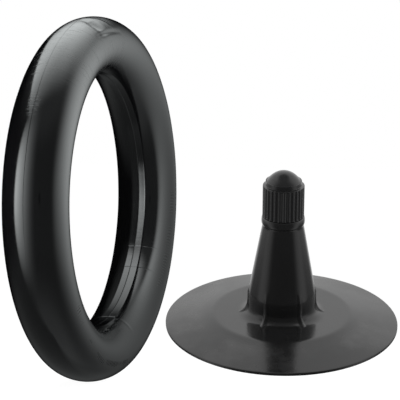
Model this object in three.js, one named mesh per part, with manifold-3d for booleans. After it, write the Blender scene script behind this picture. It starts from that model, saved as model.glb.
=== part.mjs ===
// An inflated rubber inner tube with a rubber-covered valve, in millimetres.
// The ring's axis is Y, +Z is up and the origin is the ring's centre. The valve stands on the
// inner circumference at -X and points at the ring's centre, where the rim would be.
import * as THREE from "three";
import { mergeVertices } from "three/addons/utils/BufferGeometryUtils.js";
import Module from "manifold-3d";

const wasm = await Module();
wasm.setup();

// The inflated tube, whose section is a little wider than it is deep
const RING_RADIUS = 254; // from the ring's centre to the middle of the oval section
const SECTION_DEPTH = 46; // half the section's size, outwards from the ring's axis
const SECTION_WIDTH = 52.4; // half the section's size, along the ring's axis
const WALL = 2.2;
const RING_STEPS = 60;
const SECTION_STEPS = 16;
const AIR_HOLE_RADIUS = 3;
const BOND_GAP = 0.3; // left between the tube and the valve base that is vulcanised to it

// Heights on the valve are measured from the tube's rim side, towards the ring's centre
const FOOT_RADIUS = RING_RADIUS - SECTION_DEPTH;

// The rubber moulding: a feathered disc, a flat seat and a tapered stem
const DISC_RADIUS = 27.5;
const DISC_MIDDLE_RADIUS = 22;
const DISC_EDGE = 0.8;
const MOULDING_DEPTH = 4; // below the tube's skin, before it is cut back to the tube
const SEAT_RADIUS = 16.3;
const SEAT_HEIGHT = 3.2;
const STEM_RADIUS = 7.9; // the length that fills a rim's valve hole
const STEM_STRAIGHT_TOP = 9;
const ROOT_FILLET = 2.3;
const STEM_NECK_RADIUS = 4.82;
const STEM_NECK_HEIGHT = 27.2;
const STEM_TOP = 29.5;
const LIP_RADIUS = 5.08;
const LIP_FOOT = 27.8;
const LIP_CREST = 28.5;
const LIP_TOP_RADIUS = 4.95;
const AIR_BORE_RADIUS = 1.5;
const INSERT_SOCKET_RADIUS = 3.4;
const INSERT_FOOT = 9.8;
const GUSSETS = 6;
const GUSSET_THICKNESS = 0.9;
const GUSSET_ROOT = STEM_RADIUS - 2;
const GUSSET_REACH = STEM_RADIUS + ROOT_FILLET + 0.2;
const GUSSET_TOP = STEM_STRAIGHT_TOP + 3;

// The brass insert that is moulded into the stem
const INSERT_RADIUS = 3.1;
const INSERT_GROOVE_RADIUS = 2.75;
const INSERT_GROOVES = 4;
const INSERT_GROOVE_PITCH = 4;
const GROOVE_MOUTH = 1; // half the groove's width, at its mouth and on its floor
const GROOVE_FLOOR = 0.6;
const NOSE_RADIUS = 3.8; // the cap's thread, drawn as its outside cylinder
const NOSE_MOUTH = 36.4;
const NOSE_CHAMFER = 0.4;
const CORE_THREAD_BORE = 2.75;
const CORE_THREAD_FOOT = 31.6;
const CORE_SEAT_BORE = 2.3;
const CORE_SEAT_TOP = 29.8;
const CORE_SEAT_FOOT = 18.8;
const CORE_SEAT_CONE = 0.8;

// The valve core, from its mouth down
const PLUG_RADIUS = 2.5;
const PLUG_TOP = 35.8;
const PLUG_FOOT = 32.5;
const PLUG_FLATS = 1.3; // half the width across the two flats that the key grips
const PLUG_FLAT_DEPTH = 1;
const PLUG_FOOT_BORE = 1.35;
const PLUG_MOUTH_BORE = 0.85;
const SWIVEL_BORE = 1.8; // the room in the plug for the barrel's lip
const SWIVEL_FOOT = PLUG_FOOT + 0.6;
const SWIVEL_TOP = PLUG_FOOT + 1.3;
const BARREL_RADIUS = 1.95;
const BARREL_FOOT = 23.4;
const BARREL_CHAMFER = 0.5;
const BARREL_BORE = 0.75;
const BARREL_NECK_RADIUS = 1.4;
const BARREL_NECK_TOP = PLUG_FOOT - 0.4;
const BARREL_THROAT_RADIUS = 1.1;
const BARREL_LIP_RADIUS = 1.55;
const BARREL_LIP_FOOT = PLUG_FOOT + 0.75;
const BARREL_LIP_TOP = PLUG_FOOT + 1.1;
const GASKET_FOOT = CORE_SEAT_TOP + 0.2;
const GASKET_HEIGHT = 1.9;
const GASKET_BORE = 1.65;
const GASKET_TIP_RADIUS = 1.9;
const GASKET_RADIUS = 2.3;
const PIN_RADIUS = 0.42;
const PIN_TOP = 36.3;
const PIN_FOOT = 20.8;
const PIN_HEAD_RADIUS = 0.6;
const PIN_HEAD_HEIGHT = 0.4;
const PIN_RIVET_RADIUS = 0.7;
const PIN_RIVET_HEIGHT = 0.3;
const PIN_SHOULDER_RADIUS = 1;
const PIN_SHOULDER_HEIGHT = 0.35;
const CUP_RADIUS = 1.8;
const CUP_BORE = 0.6;
const CUP_FOOT = PIN_FOOT + 0.5;
const CUP_HEIGHT = 1.5;
const CUP_WALL = 0.2;
const CUP_FLOOR = 0.35;
const WASHER_RADIUS = 1.4;
const WASHER_BORE = 0.65;
const SPRING_RADIUS = 0.85;
const SPRING_WIRE = 0.16;
const SPRING_FOOT = 24.9;
const SPRING_TOP = 28.3;
const SPRING_TURNS = 6;
const SPRING_ROOM_RADIUS = 1.25;
const SPRING_ROOM_FOOT = SPRING_FOOT - 0.3;
const SPRING_ROOM_TOP = SPRING_TOP + 1;

// The screw cap
const CAP_FOOT = 29.9;
const CAP_RIB_RADIUS = 4.85;
const CAP_SLEEVE_RADIUS = 4.62;
const CAP_RIBS = 28;
const CAP_RIB_TOP = 38.2;
const CAP_CHAMFER_TOP = 39;
const CAP_BORE = 4.08;
const CAP_BORE_TOP = 37.45;
const DOME_RADIUS = 4.25;
const DOME_FOOT = 39.1;
const DOME_RISE = 1.95;
const DOME_STEPS = 6;
const CAP_SOCKET_RADIUS = 2.85; // above the seal, over the valve's mouth
const CAP_SOCKET_TOP = 39.05;
const CAP_PIN_ROOM_RADIUS = 1.2;
const CAP_PIN_ROOM_TOP = 39.6;
const SEAL_RADIUS = 3.85;
const SEAL_FOOT = NOSE_MOUTH + 0.2;
const SEAL_TOP = CAP_BORE_TOP - 0.15;

const ROUND_STEPS = 36;
const CAP_STEPS = 28;
const SMALL_STEPS = 20;

const black = { color: 0x1b1b1c, metalness: 0 };
const brass = { color: 0xb08d4a, metalness: 1, roughness: 0.35 };
const MATERIALS = {
  butyl: new THREE.MeshStandardMaterial({ ...black, roughness: 0.3 }),
  stemRubber: new THREE.MeshStandardMaterial({ ...black, roughness: 0.45 }),
  capPlastic: new THREE.MeshStandardMaterial({ color: 0x232425, roughness: 0.4 }),
  sealRubber: new THREE.MeshStandardMaterial({ color: 0x6e2b22, roughness: 0.7 }),
  brass: new THREE.MeshStandardMaterial(brass),
  steel: new THREE.MeshStandardMaterial({ color: 0xb9bcc0, metalness: 1, roughness: 0.3 }),
};

function solid(geometry) {
  const bare = geometry.index ? geometry.toNonIndexed() : geometry.clone();
  bare.deleteAttribute("normal");
  bare.deleteAttribute("uv");
  const merged = mergeVertices(bare, 1e-4);
  const corners = merged.index.array;
  const triangles = [];
  for (let i = 0; i < corners.length; i += 3) {
    const [a, b, c] = corners.subarray(i, i + 3);
    if (a !== b && b !== c && c !== a) triangles.push(a, b, c);
  }
  const vertProperties = merged.attributes.position.array;
  const triVerts = new Uint32Array(triangles);
  return new wasm.Manifold(new wasm.Mesh({ numProp: 3, vertProperties, triVerts }));
}

function geometryOf(manifold) {
  const { vertProperties, triVerts } = manifold.getMesh();
  const geometry = new THREE.BufferGeometry();
  geometry.setAttribute("position", new THREE.BufferAttribute(vertProperties, 3));
  geometry.setIndex(new THREE.BufferAttribute(triVerts, 1));
  geometry.computeVertexNormals();
  return geometry;
}

function named(name, geometry, material) {
  const mesh = new THREE.Mesh(geometry, material);
  mesh.name = name;
  return mesh;
}

// A turned piece round local Y: its [radius, height] outline runs anticlockwise and closes.
function turned(outline, steps = SMALL_STEPS) {
  const points = [...outline, outline[0]].map(([r, h]) => new THREE.Vector2(r, h));
  return new THREE.LatheGeometry(points, steps);
}

// A plain ring or tube between two radii and two heights.
function collar(inner, outer, low, high, steps = SMALL_STEPS) {
  const outline = [[inner, low], [outer, low], [outer, high], [inner, high]];
  return turned(outline, steps);
}

// The tube's outside, or a skin that stands off it by `swell`. Its flats, not its corners, lie
// on the true ring, so that it stands on a flat.
function ring(swell = 0) {
  const toCorner = 1 / Math.cos(Math.PI / SECTION_STEPS);
  const widen = 1 / Math.cos(Math.PI / RING_STEPS);
  const points = [];
  for (let i = 0; i <= SECTION_STEPS; i++) {
    const turn = (2 * Math.PI * (i + 0.5)) / SECTION_STEPS;
    const outward = (SECTION_DEPTH + swell) * toCorner * Math.cos(turn);
    const aside = (SECTION_WIDTH + swell) * toCorner * Math.sin(turn);
    points.push(new THREE.Vector2((RING_RADIUS + outward) * widen, aside));
  }
  points[SECTION_STEPS].copy(points[0]);
  return new THREE.LatheGeometry(points, RING_STEPS, Math.PI / RING_STEPS);
}

// The valve's own frame: local Y is the stem's axis, from the tube's rim side inwards.
const valve = new THREE.Group();
valve.position.set(-FOOT_RADIUS, 0, 0);
valve.rotation.z = -Math.PI / 2;
valve.updateMatrix();

function tubeBody() {
  const hole = new THREE.CylinderGeometry(AIR_HOLE_RADIUS, AIR_HOLE_RADIUS, 4 * WALL, SMALL_STEPS);
  hole.applyMatrix4(valve.matrix);
  const wall = solid(ring()).subtract(solid(ring(-WALL)));
  return geometryOf(wall.subtract(solid(hole)));
}

// The ratio of the faceted section to its oval at `turn` from its rim side.
function facetRatio(turn) {
  const step = (2 * Math.PI) / SECTION_STEPS;
  const offFlat = turn - step * Math.round(turn / step);
  return 1 / Math.cos(offFlat);
}

// The thick middle of the moulding stays flat; the thin disc round it wraps onto the tube.
function wrapOntoTube(geometry) {
  const place = geometry.attributes.position;
  for (let i = 0; i < place.count; i++) {
    const [x, height, z] = [place.getX(i), place.getY(i), place.getZ(i)];
    const outward = Math.hypot(x, z);
    const turn = x / SECTION_WIDTH;
    const along = z / FOOT_RADIUS;
    const aside = (SECTION_WIDTH * facetRatio(turn) + height) * Math.sin(turn);
    const radius = RING_RADIUS - (SECTION_DEPTH * facetRatio(turn) + height) * Math.cos(turn);
    const bent = new THREE.Vector3(
      aside,
      FOOT_RADIUS - radius * Math.cos(along),
      radius * Math.sin(along),
    );
    const bend = THREE.MathUtils.clamp((outward - SEAT_RADIUS) / (DISC_RADIUS - SEAT_RADIUS), 0, 1);
    bent.lerpVectors(new THREE.Vector3(x, height, z), bent, bend);
    place.setXYZ(i, bent.x, bent.y, bent.z);
  }
  return geometry;
}

function rootFillet(steps) {
  const arc = [];
  for (let i = 0; i <= steps; i++) {
    const turn = (Math.PI / 2) * (i / steps);
    const radius = STEM_RADIUS + ROOT_FILLET * (1 - Math.sin(turn));
    arc.push([radius, SEAT_HEIGHT + ROOT_FILLET * (1 - Math.cos(turn))]);
  }
  return arc;
}

function gusset(index) {
  const outline = new THREE.Shape();
  outline.moveTo(GUSSET_ROOT, SEAT_HEIGHT - 1);
  outline.lineTo(GUSSET_REACH, SEAT_HEIGHT - 1);
  outline.lineTo(GUSSET_REACH, SEAT_HEIGHT + 0.15);
  outline.quadraticCurveTo(STEM_RADIUS + 0.8, SEAT_HEIGHT + 1, STEM_RADIUS + 0.3, SEAT_HEIGHT + 2.6);
  outline.lineTo(STEM_RADIUS + 0.25, STEM_STRAIGHT_TOP - 0.6);
  outline.lineTo(GUSSET_ROOT + 1, GUSSET_TOP);
  outline.lineTo(GUSSET_ROOT, GUSSET_TOP);
  const options = { depth: GUSSET_THICKNESS, bevelEnabled: false, curveSegments: 4 };
  const geometry = new THREE.ExtrudeGeometry(outline, options);
  geometry.translate(0, 0, -GUSSET_THICKNESS / 2);
  geometry.rotateY((2 * Math.PI * (index + 0.5)) / GUSSETS);
  return geometry;
}

// The moulding's underside is cut back to the tube's skin after it is wrapped.
function valveRubberBody() {
  const discRings = [STEM_RADIUS + ROOT_FILLET, SEAT_RADIUS, DISC_MIDDLE_RADIUS, DISC_RADIUS];
  const underside = discRings.map((radius) => [radius, -MOULDING_DEPTH]);
  const outline = [
    [AIR_BORE_RADIUS, -MOULDING_DEPTH],
    ...underside,
    [DISC_RADIUS, DISC_EDGE],
    [DISC_MIDDLE_RADIUS, (SEAT_HEIGHT + DISC_EDGE) / 2],
    [SEAT_RADIUS, SEAT_HEIGHT],
    ...rootFillet(4),
    [STEM_RADIUS, STEM_STRAIGHT_TOP],
    [STEM_NECK_RADIUS, STEM_NECK_HEIGHT],
    [LIP_RADIUS, LIP_FOOT],
    [LIP_RADIUS, LIP_CREST],
    [LIP_TOP_RADIUS, STEM_TOP],
    [INSERT_SOCKET_RADIUS, STEM_TOP],
    [INSERT_SOCKET_RADIUS, INSERT_FOOT - BOND_GAP],
    [AIR_BORE_RADIUS, INSERT_FOOT - BOND_GAP],
  ];
  let moulding = solid(turned(outline, ROUND_STEPS));
  for (let i = 0; i < GUSSETS; i++) {
    moulding = moulding.add(solid(gusset(i)));
  }
  const wrapped = solid(wrapOntoTube(geometryOf(moulding)));
  const tube = ring(BOND_GAP).applyMatrix4(valve.matrix.clone().invert());
  return geometryOf(wrapped.subtract(solid(tube)));
}

function stemInsert() {
  const outline = [[AIR_BORE_RADIUS, INSERT_FOOT], [INSERT_RADIUS, INSERT_FOOT]];
  for (let i = 1; i <= INSERT_GROOVES; i++) {
    const groove = INSERT_FOOT + i * INSERT_GROOVE_PITCH;
    outline.push([INSERT_RADIUS, groove - GROOVE_MOUTH]);
    outline.push([INSERT_GROOVE_RADIUS, groove - GROOVE_FLOOR]);
    outline.push([INSERT_GROOVE_RADIUS, groove + GROOVE_FLOOR]);
    outline.push([INSERT_RADIUS, groove + GROOVE_MOUTH]);
  }
  outline.push([INSERT_RADIUS, STEM_TOP + BOND_GAP]);
  outline.push([NOSE_RADIUS, STEM_TOP + BOND_GAP]);
  outline.push([NOSE_RADIUS, NOSE_MOUTH - NOSE_CHAMFER]);
  outline.push([NOSE_RADIUS - NOSE_CHAMFER, NOSE_MOUTH]);
  outline.push([CORE_THREAD_BORE, NOSE_MOUTH]);
  outline.push([CORE_THREAD_BORE, CORE_THREAD_FOOT]);
  outline.push([CORE_SEAT_BORE, CORE_SEAT_TOP]);
  outline.push([CORE_SEAT_BORE, CORE_SEAT_FOOT]);
  outline.push([AIR_BORE_RADIUS, CORE_SEAT_FOOT - CORE_SEAT_CONE]);
  return turned(outline, CAP_STEPS);
}

// The threaded plug turns on the barrel's lip, so the gasket isn't scuffed as it screws home.
function corePlug() {
  const body = turned([
    [PLUG_FOOT_BORE, PLUG_FOOT],
    [PLUG_RADIUS, PLUG_FOOT],
    [PLUG_RADIUS, PLUG_TOP],
    [PLUG_MOUTH_BORE, PLUG_TOP],
    [PLUG_MOUTH_BORE, SWIVEL_TOP],
    [SWIVEL_BORE, SWIVEL_TOP],
    [SWIVEL_BORE, SWIVEL_FOOT],
    [PLUG_FOOT_BORE, SWIVEL_FOOT],
  ]);
  const side = new THREE.BoxGeometry(PLUG_RADIUS, 2 * PLUG_FLAT_DEPTH, 3 * PLUG_RADIUS);
  const middle = PLUG_FLATS + PLUG_RADIUS / 2;
  const left = solid(side.clone().translate(-middle, PLUG_TOP, 0));
  const right = solid(side.clone().translate(middle, PLUG_TOP, 0));
  return geometryOf(solid(body).subtract(left).subtract(right));
}

function coreBarrel() {
  return turned([
    [BARREL_BORE, BARREL_FOOT],
    [BARREL_RADIUS - BARREL_CHAMFER, BARREL_FOOT],
    [BARREL_RADIUS, BARREL_FOOT + BARREL_CHAMFER],
    [BARREL_RADIUS, CORE_SEAT_TOP],
    [BARREL_NECK_RADIUS, CORE_SEAT_TOP],
    [BARREL_NECK_RADIUS, BARREL_NECK_TOP],
    [BARREL_THROAT_RADIUS, BARREL_NECK_TOP],
    [BARREL_THROAT_RADIUS, BARREL_LIP_FOOT],
    [BARREL_LIP_RADIUS, BARREL_LIP_FOOT],
    [BARREL_LIP_RADIUS, BARREL_LIP_TOP],
    [BARREL_BORE, BARREL_LIP_TOP],
    [BARREL_BORE, SPRING_ROOM_TOP],
    [SPRING_ROOM_RADIUS, SPRING_ROOM_TOP],
    [SPRING_ROOM_RADIUS, SPRING_ROOM_FOOT],
    [BARREL_BORE, SPRING_ROOM_FOOT],
  ]);
}

function coreGasket() {
  return turned([
    [GASKET_BORE, GASKET_FOOT],
    [GASKET_TIP_RADIUS, GASKET_FOOT],
    [GASKET_RADIUS, GASKET_FOOT + GASKET_HEIGHT],
    [GASKET_BORE, GASKET_FOOT + GASKET_HEIGHT],
  ]);
}

// The pin carries a shoulder for the spring and a riveted end below the seat cup.
function corePin() {
  const shoulder = SPRING_TOP + 0.15;
  return turned([
    [0, PIN_FOOT],
    [PIN_RIVET_RADIUS, PIN_FOOT],
    [PIN_RIVET_RADIUS, PIN_FOOT + PIN_RIVET_HEIGHT],
    [PIN_RADIUS, PIN_FOOT + PIN_RIVET_HEIGHT],
    [PIN_RADIUS, shoulder],
    [PIN_SHOULDER_RADIUS, shoulder],
    [PIN_SHOULDER_RADIUS, shoulder + PIN_SHOULDER_HEIGHT],
    [PIN_RADIUS, shoulder + PIN_SHOULDER_HEIGHT],
    [PIN_RADIUS, PIN_TOP - PIN_HEAD_HEIGHT - 0.1],
    [PIN_HEAD_RADIUS, PIN_TOP - PIN_HEAD_HEIGHT],
    [PIN_HEAD_RADIUS, PIN_TOP - 0.1],
    [PIN_RADIUS, PIN_TOP],
    [0, PIN_TOP],
  ]);
}

function coreSpring() {
  class Coil extends THREE.Curve {
    getPoint(share, target = new THREE.Vector3()) {
      const turn = 2 * Math.PI * SPRING_TURNS * share;
      const low = SPRING_FOOT + SPRING_WIRE;
      const high = SPRING_TOP - SPRING_WIRE;
      const height = THREE.MathUtils.lerp(low, high, share);
      return target.set(SPRING_RADIUS * Math.cos(turn), height, SPRING_RADIUS * Math.sin(turn));
    }
  }
  const wire = new THREE.Shape().absarc(0, 0, SPRING_WIRE, 0, 2 * Math.PI);
  const options = { steps: 12 * SPRING_TURNS, curveSegments: 3, extrudePath: new Coil() };
  return new THREE.ExtrudeGeometry(wire, options);
}

function coreSeatCup() {
  return turned([
    [CUP_BORE, CUP_FOOT],
    [CUP_RADIUS - CUP_WALL, CUP_FOOT],
    [CUP_RADIUS, CUP_FOOT + 0.3],
    [CUP_RADIUS, CUP_FOOT + CUP_HEIGHT],
    [CUP_RADIUS - CUP_WALL, CUP_FOOT + CUP_HEIGHT],
    [CUP_RADIUS - CUP_WALL, CUP_FOOT + CUP_FLOOR],
    [CUP_BORE, CUP_FOOT + CUP_FLOOR],
  ]);
}

function coreSeatWasher() {
  return collar(WASHER_BORE, WASHER_RADIUS, CUP_FOOT + 0.6, BARREL_FOOT - 0.2);
}

function capSleeve() {
  const outline = new THREE.Shape();
  const step = (2 * Math.PI) / CAP_RIBS;
  for (let i = 0; i < CAP_RIBS; i++) {
    const [rise, top, fall] = [0.22, 0.36, 0.64].map((share) => (i + share) * step);
    outline.absarc(0, 0, CAP_SLEEVE_RADIUS, i * step, rise, false);
    outline.absarc(0, 0, CAP_RIB_RADIUS, top, fall, false);
  }
  outline.closePath();
  const options = { depth: CAP_RIB_TOP - CAP_FOOT, bevelEnabled: false, curveSegments: 1 };
  const sleeve = new THREE.ExtrudeGeometry(outline, options);
  return sleeve.rotateX(-Math.PI / 2).translate(0, CAP_FOOT, 0);
}

function capShell() {
  const dome = [];
  for (let i = 0; i < DOME_STEPS; i++) {
    const turn = (Math.PI / 2) * (i / DOME_STEPS);
    dome.push([DOME_RADIUS * Math.cos(turn), DOME_FOOT + DOME_RISE * Math.sin(turn)]);
  }
  const crown = turned([
    [0, CAP_FOOT + 1],
    [CAP_SLEEVE_RADIUS - 0.1, CAP_FOOT + 1],
    [CAP_SLEEVE_RADIUS - 0.1, CAP_RIB_TOP - 0.2],
    [CAP_RIB_RADIUS - 0.05, CAP_RIB_TOP - 0.1],
    [CAP_RIB_RADIUS - 0.05, CAP_RIB_TOP + 0.1],
    [DOME_RADIUS - 0.1, CAP_CHAMFER_TOP],
    ...dome,
    [0, DOME_FOOT + DOME_RISE],
  ], CAP_STEPS);
  const cavity = turned([
    [0, CAP_FOOT - 1],
    [CAP_BORE, CAP_FOOT - 1],
    [CAP_BORE, CAP_BORE_TOP],
    [CAP_SOCKET_RADIUS, CAP_BORE_TOP],
    [CAP_SOCKET_RADIUS, CAP_SOCKET_TOP],
    [CAP_PIN_ROOM_RADIUS, CAP_SOCKET_TOP],
    [CAP_PIN_ROOM_RADIUS, CAP_PIN_ROOM_TOP],
    [0, CAP_PIN_ROOM_TOP],
  ], CAP_STEPS);
  return geometryOf(solid(capSleeve()).add(solid(crown)).subtract(solid(cavity)));
}

function capSeal() {
  return collar(CAP_SOCKET_RADIUS, SEAL_RADIUS, SEAL_FOOT, SEAL_TOP, CAP_STEPS);
}

valve.add(named("valve_rubber_body", valveRubberBody(), MATERIALS.stemRubber));
valve.add(named("stem_insert", stemInsert(), MATERIALS.brass));
valve.add(named("core_plug", corePlug(), MATERIALS.brass));
valve.add(named("core_barrel", coreBarrel(), MATERIALS.brass));
valve.add(named("core_gasket", coreGasket(), MATERIALS.sealRubber));
valve.add(named("core_pin", corePin(), MATERIALS.brass));
valve.add(named("core_spring", coreSpring(), MATERIALS.steel));
valve.add(named("core_seat_cup", coreSeatCup(), MATERIALS.brass));
valve.add(named("core_seat_washer", coreSeatWasher(), MATERIALS.sealRubber));
valve.add(named("cap_shell", capShell(), MATERIALS.capPlastic));
valve.add(named("cap_seal", capSeal(), MATERIALS.sealRubber));

const innerTube = new THREE.Group();
innerTube.add(named("tube_body", tubeBody(), MATERIALS.butyl));
innerTube.add(valve);

export default innerTube;
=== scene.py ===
import math
from types import SimpleNamespace

import bmesh
import bpy
import numpy as np
from mathutils import Matrix, Vector


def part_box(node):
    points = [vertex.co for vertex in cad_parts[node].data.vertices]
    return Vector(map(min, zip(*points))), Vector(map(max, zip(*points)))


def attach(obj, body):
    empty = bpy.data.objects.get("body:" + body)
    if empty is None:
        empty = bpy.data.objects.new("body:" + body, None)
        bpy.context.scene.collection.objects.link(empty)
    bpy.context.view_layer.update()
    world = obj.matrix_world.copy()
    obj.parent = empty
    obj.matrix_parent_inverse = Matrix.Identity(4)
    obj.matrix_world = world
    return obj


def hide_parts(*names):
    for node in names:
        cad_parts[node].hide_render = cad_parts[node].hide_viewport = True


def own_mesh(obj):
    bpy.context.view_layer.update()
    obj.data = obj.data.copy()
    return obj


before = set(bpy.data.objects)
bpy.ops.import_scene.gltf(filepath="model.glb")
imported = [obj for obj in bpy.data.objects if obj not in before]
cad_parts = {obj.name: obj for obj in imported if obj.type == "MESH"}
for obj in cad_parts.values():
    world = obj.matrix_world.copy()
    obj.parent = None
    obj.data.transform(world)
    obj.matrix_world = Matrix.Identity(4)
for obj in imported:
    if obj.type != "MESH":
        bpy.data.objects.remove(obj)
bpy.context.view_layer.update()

MM = 0.001

# ---------------------------------------------------------------- sizes of the tube

# The ring's radius to the middle of its oval section, and half the section's sizes, in metres
RING = 0.254
SECTION_DEPTH = 0.046
SECTION_WIDTH = 0.0524
FOOT = RING - SECTION_DEPTH
FLOOR_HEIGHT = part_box("tube_body")[0].z
SKIN_TURNS = 510
SKIN_SECTIONS = 190

# A place on the skin is (turn, section) in degrees: turn round the ring from +X, section round the
# tube from the tread. About one degree of each near the inner circumference, in mm:
INNER_TURN_DEGREE = 3.46
INNER_SECTION_DEGREE = 0.89

# The flat band round the inner circumference, in degrees of section from its seam: flat out to
# BAND_FLAT, round again from BAND_SHOULDER, with each half sloping by BAND_SLOPE
BAND_FLAT = 11.0
BAND_SHOULDER = 14.5
BAND_REACH = 24
BAND_SLOPE = 2.4

# Dents on the crown: start, end, then width and depth in mm; the last one is a ridge
CROWN_DENTS = (
    ((105.6, -14), (107.6, -50), 8.5, 5.0),
    ((112, -53), (95, -64), 4.2, 2.2),
    ((102, -14), (99, -48), 4.2, -0.9),
)

# The bowed fold across the inner circumference at the bottom, in mm and degrees
FOLD_TURN = -72.5
FOLD_BOW = 3.5
FOLD_DEPTH = 0.6
FOLD_WIDTH = 2.6

# The wrinkles below the fold: section in degrees, depth in mm
WRINKLES = ((197, 0.2), (208, 0.22), (219, 0.15))

# ---------------------------------------------------------------- sizes of the valve

# In millimetres: heights from the tube's rim side, radii from the stem's axis
DISC_RADIUS = 27.5
DISC_EDGE = 0.62
DISC_UNDERSIDE = -1.2  # below the skin's outside, so that the moulding is bonded all over
SEAT_RADIUS = 16.3
SEAT_HEIGHT = 3.2
STEM_RADIUS = 7.9
STEM_STRAIGHT_TOP = 9.0
ROOT_SPREAD = 2.6
ROOT_RISE = 2.4
ROOT_STEPS = 14
NECK_RADIUS = 4.82
NECK_HEIGHT = 27.2
LIP_RADIUS = 5.08
LIP_CREST = 28.5
LIP_TOP_RADIUS = 4.95
STEM_TOP = 29.5
STEM_BORE = 3.4
AIR_BORE = 1.5

# The gussets round the stem's foot; a gusset's outer edge is given as (height, radius)
GUSSETS = 6
GUSSET_CREST = 0.2
GUSSET_HALF_WIDTH = 0.65
GUSSET_TOP = 12.2
GUSSET_REACH = 10.6
GUSSET_EDGE = (
    (SEAT_HEIGHT - 0.2, GUSSET_REACH),
    (3.3, 9.9),
    (3.8, 9.15),
    (4.5, 8.6),
    (5.5, 8.25),
    (7.0, 8.12),
    (STEM_STRAIGHT_TOP, 8.1),
    (GUSSET_TOP, 7.3),
)
STEM_INSIDE_GUSSETS = 6.2  # a radius between the stem's bore and its outside

INSERT_FOOT = 9.8
INSERT_RADIUS = 3.1
INSERT_BORE = 2.3
NOSE_RADIUS = 3.8
NOSE_FOOT = 29.8
NOSE_MOUTH = 36.4
NOSE_BORE = 2.75
GASKET_SEAT_FOOT = 29.8
GASKET_SEAT_TOP = 31.6
CAP_THREAD_PITCH = 0.79375
CAP_THREAD_DEPTH = 0.38
CORE_THREAD_PITCH = 0.70556
CORE_THREAD_DEPTH = 0.28

PLUG_FOOT = 32.5
PLUG_TOP = 35.8
PLUG_RADIUS = 2.5
PLUG_BORE = 0.85
PLUG_NECK = 1.35
PLUG_SOCKET = 1.8
PLUG_FLAT = 1.3

BARREL_FOOT = 23.4
BARREL_RADIUS = 1.95
BARREL_SHOULDER = 29.8
BARREL_WAIST = 1.4
BARREL_NECK = 1.1
BARREL_LIP = 1.55
BARREL_BORE = 0.75
SPRING_CHAMBER = 1.25

GASKET_BORE = 1.65
GASKET_HEIGHT = 1.9

PIN_FOOT = 20.8
PIN_TOP = 36.3
PIN_RADIUS = 0.42
PIN_HEAD = 0.6
PIN_RIVET = 0.7
PIN_COLLAR = 1

SPRING_FOOT = 24.9
SPRING_TOP = 28.3
SPRING_COILS = 6
SPRING_RADIUS = 0.85
SPRING_WIRE = 0.16

CUP_RADIUS = 1.8
CUP_INSIDE = 1.6
CUP_BORE = 0.6
WASHER_RADIUS = 1.4
WASHER_BORE = 0.65

CAP_FOOT = 29.58
CAP_RIBS = 28
CAP_RIB_RADIUS = 4.85
CAP_RIB_TOP = 37.7
CAP_RIB_DEPTH = 0.24
CAP_RIB_CREST = 0.12  # half a rib's flat crest, and its valley's start, as shares of the spacing
CAP_RIB_VALLEY = 0.44
CAP_BORE = 4.08
CAP_BORE_TOP = 37.45
CAP_BORE_THREAD_DEPTH = 0.2
CAP_BORE_THREAD_TOP = 37.0
PLUG_ROOM = 2.85
PLUG_ROOM_TOP = 39.05
PIN_ROOM = 1.2
PIN_ROOM_TOP = 39.6
BEAD_RADIUS = 4.2
BEAD_TOP = 38.9
DOME_RADIUS = 3.98
DOME_FOOT = 38.84
DOME_RISE = 2.5
DOME_POWER = 2.2
DOME_STEPS = 16
SEAL_INSIDE = 2.85
SEAL_RADIUS = 3.85
SEAL_TOP = 37.3

# How finely the pieces are drawn: sides in each rounded corner, and columns round the axis
CORNER_STEPS = 3
MOULDING_COLUMNS = 300
THREADED_COLUMNS = 96
SMALL_COLUMNS = 64
PIN_COLUMNS = 48
COLUMNS_PER_RIB = 10

# ---------------------------------------------------------------- looks

RUBBER_IOR = 1.5
BUTYL_ROUGHNESS = 0.07
STEM_ROUGHNESS = 0.12
CAP_ROUGHNESS = 0.16
SEAL_ROUGHNESS = 0.6
GASKET_ROUGHNESS = 0.35
SPRING_ROUGHNESS = 0.22
BRASS_ROUGHNESS = 0.2
BUTYL_COLOR = (0.002, 0.002, 0.0022, 1)
BUTYL_SCUFFED_COLOR = (0.016, 0.016, 0.0165, 1)
STEM_COLOR = (0.01, 0.01, 0.0102, 1)
STEM_SMUDGED_COLOR = (0.075, 0.075, 0.075, 1)
CAP_COLOR = (0.019, 0.019, 0.0195, 1)
SEAL_COLOR = (0.03, 0.03, 0.03, 1)
GASKET_COLOR = (0.5, 0.07, 0.045, 1)
SPRING_COLOR = (0.6, 0.6, 0.62, 1)
BRASS_COLOR = (0.72, 0.53, 0.25, 1)

# Marks on the butyl, in degrees of turn or of section
CROWN_TURNS = (98.0, 132.0)
CROSS_LINE_TURNS = (-24.0, -35.3)
SCUFF_TURNS = (147.5, 152.5)
SCUFF_SECTIONS = (-4.0, 12.0)
CRUMPLE_TURNS = (99.0, 111.0)
CRUMPLE_SECTIONS = (-62.0, -10.0)
TREAD_LINE_SECTION = 1.2

# Rows of short ribs: the turns where a row starts and ends, its section at turn 0, and its drift
RIB_ROWS = (
    (-141.0, -108.0, -20.0, 0.445),
    (-104.0, -84.0, -71.0, 0.0),
    (-42.0, 0.0, -105.0, 0.15),
)

# Heights of the butyl's relief, in metres
FINE_LINE_HEIGHT = 0.00002
CROWN_LINE_HEIGHT = 0.00006
BROAD_LINE_HEIGHT = 0.00005
CLOUD_HEIGHT = 0.0002
TREAD_LINE_HEIGHT = 0.0002
SEAM_HEIGHT = 0.0005
CROSS_LINE_HEIGHT = -0.00016
RIB_ROW_HEIGHT = 0.0003
SCUFF_HEIGHT = 0.00007
CRUMPLE_HEIGHT = 0.0004

# ---------------------------------------------------------------- the camera and the studio

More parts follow.
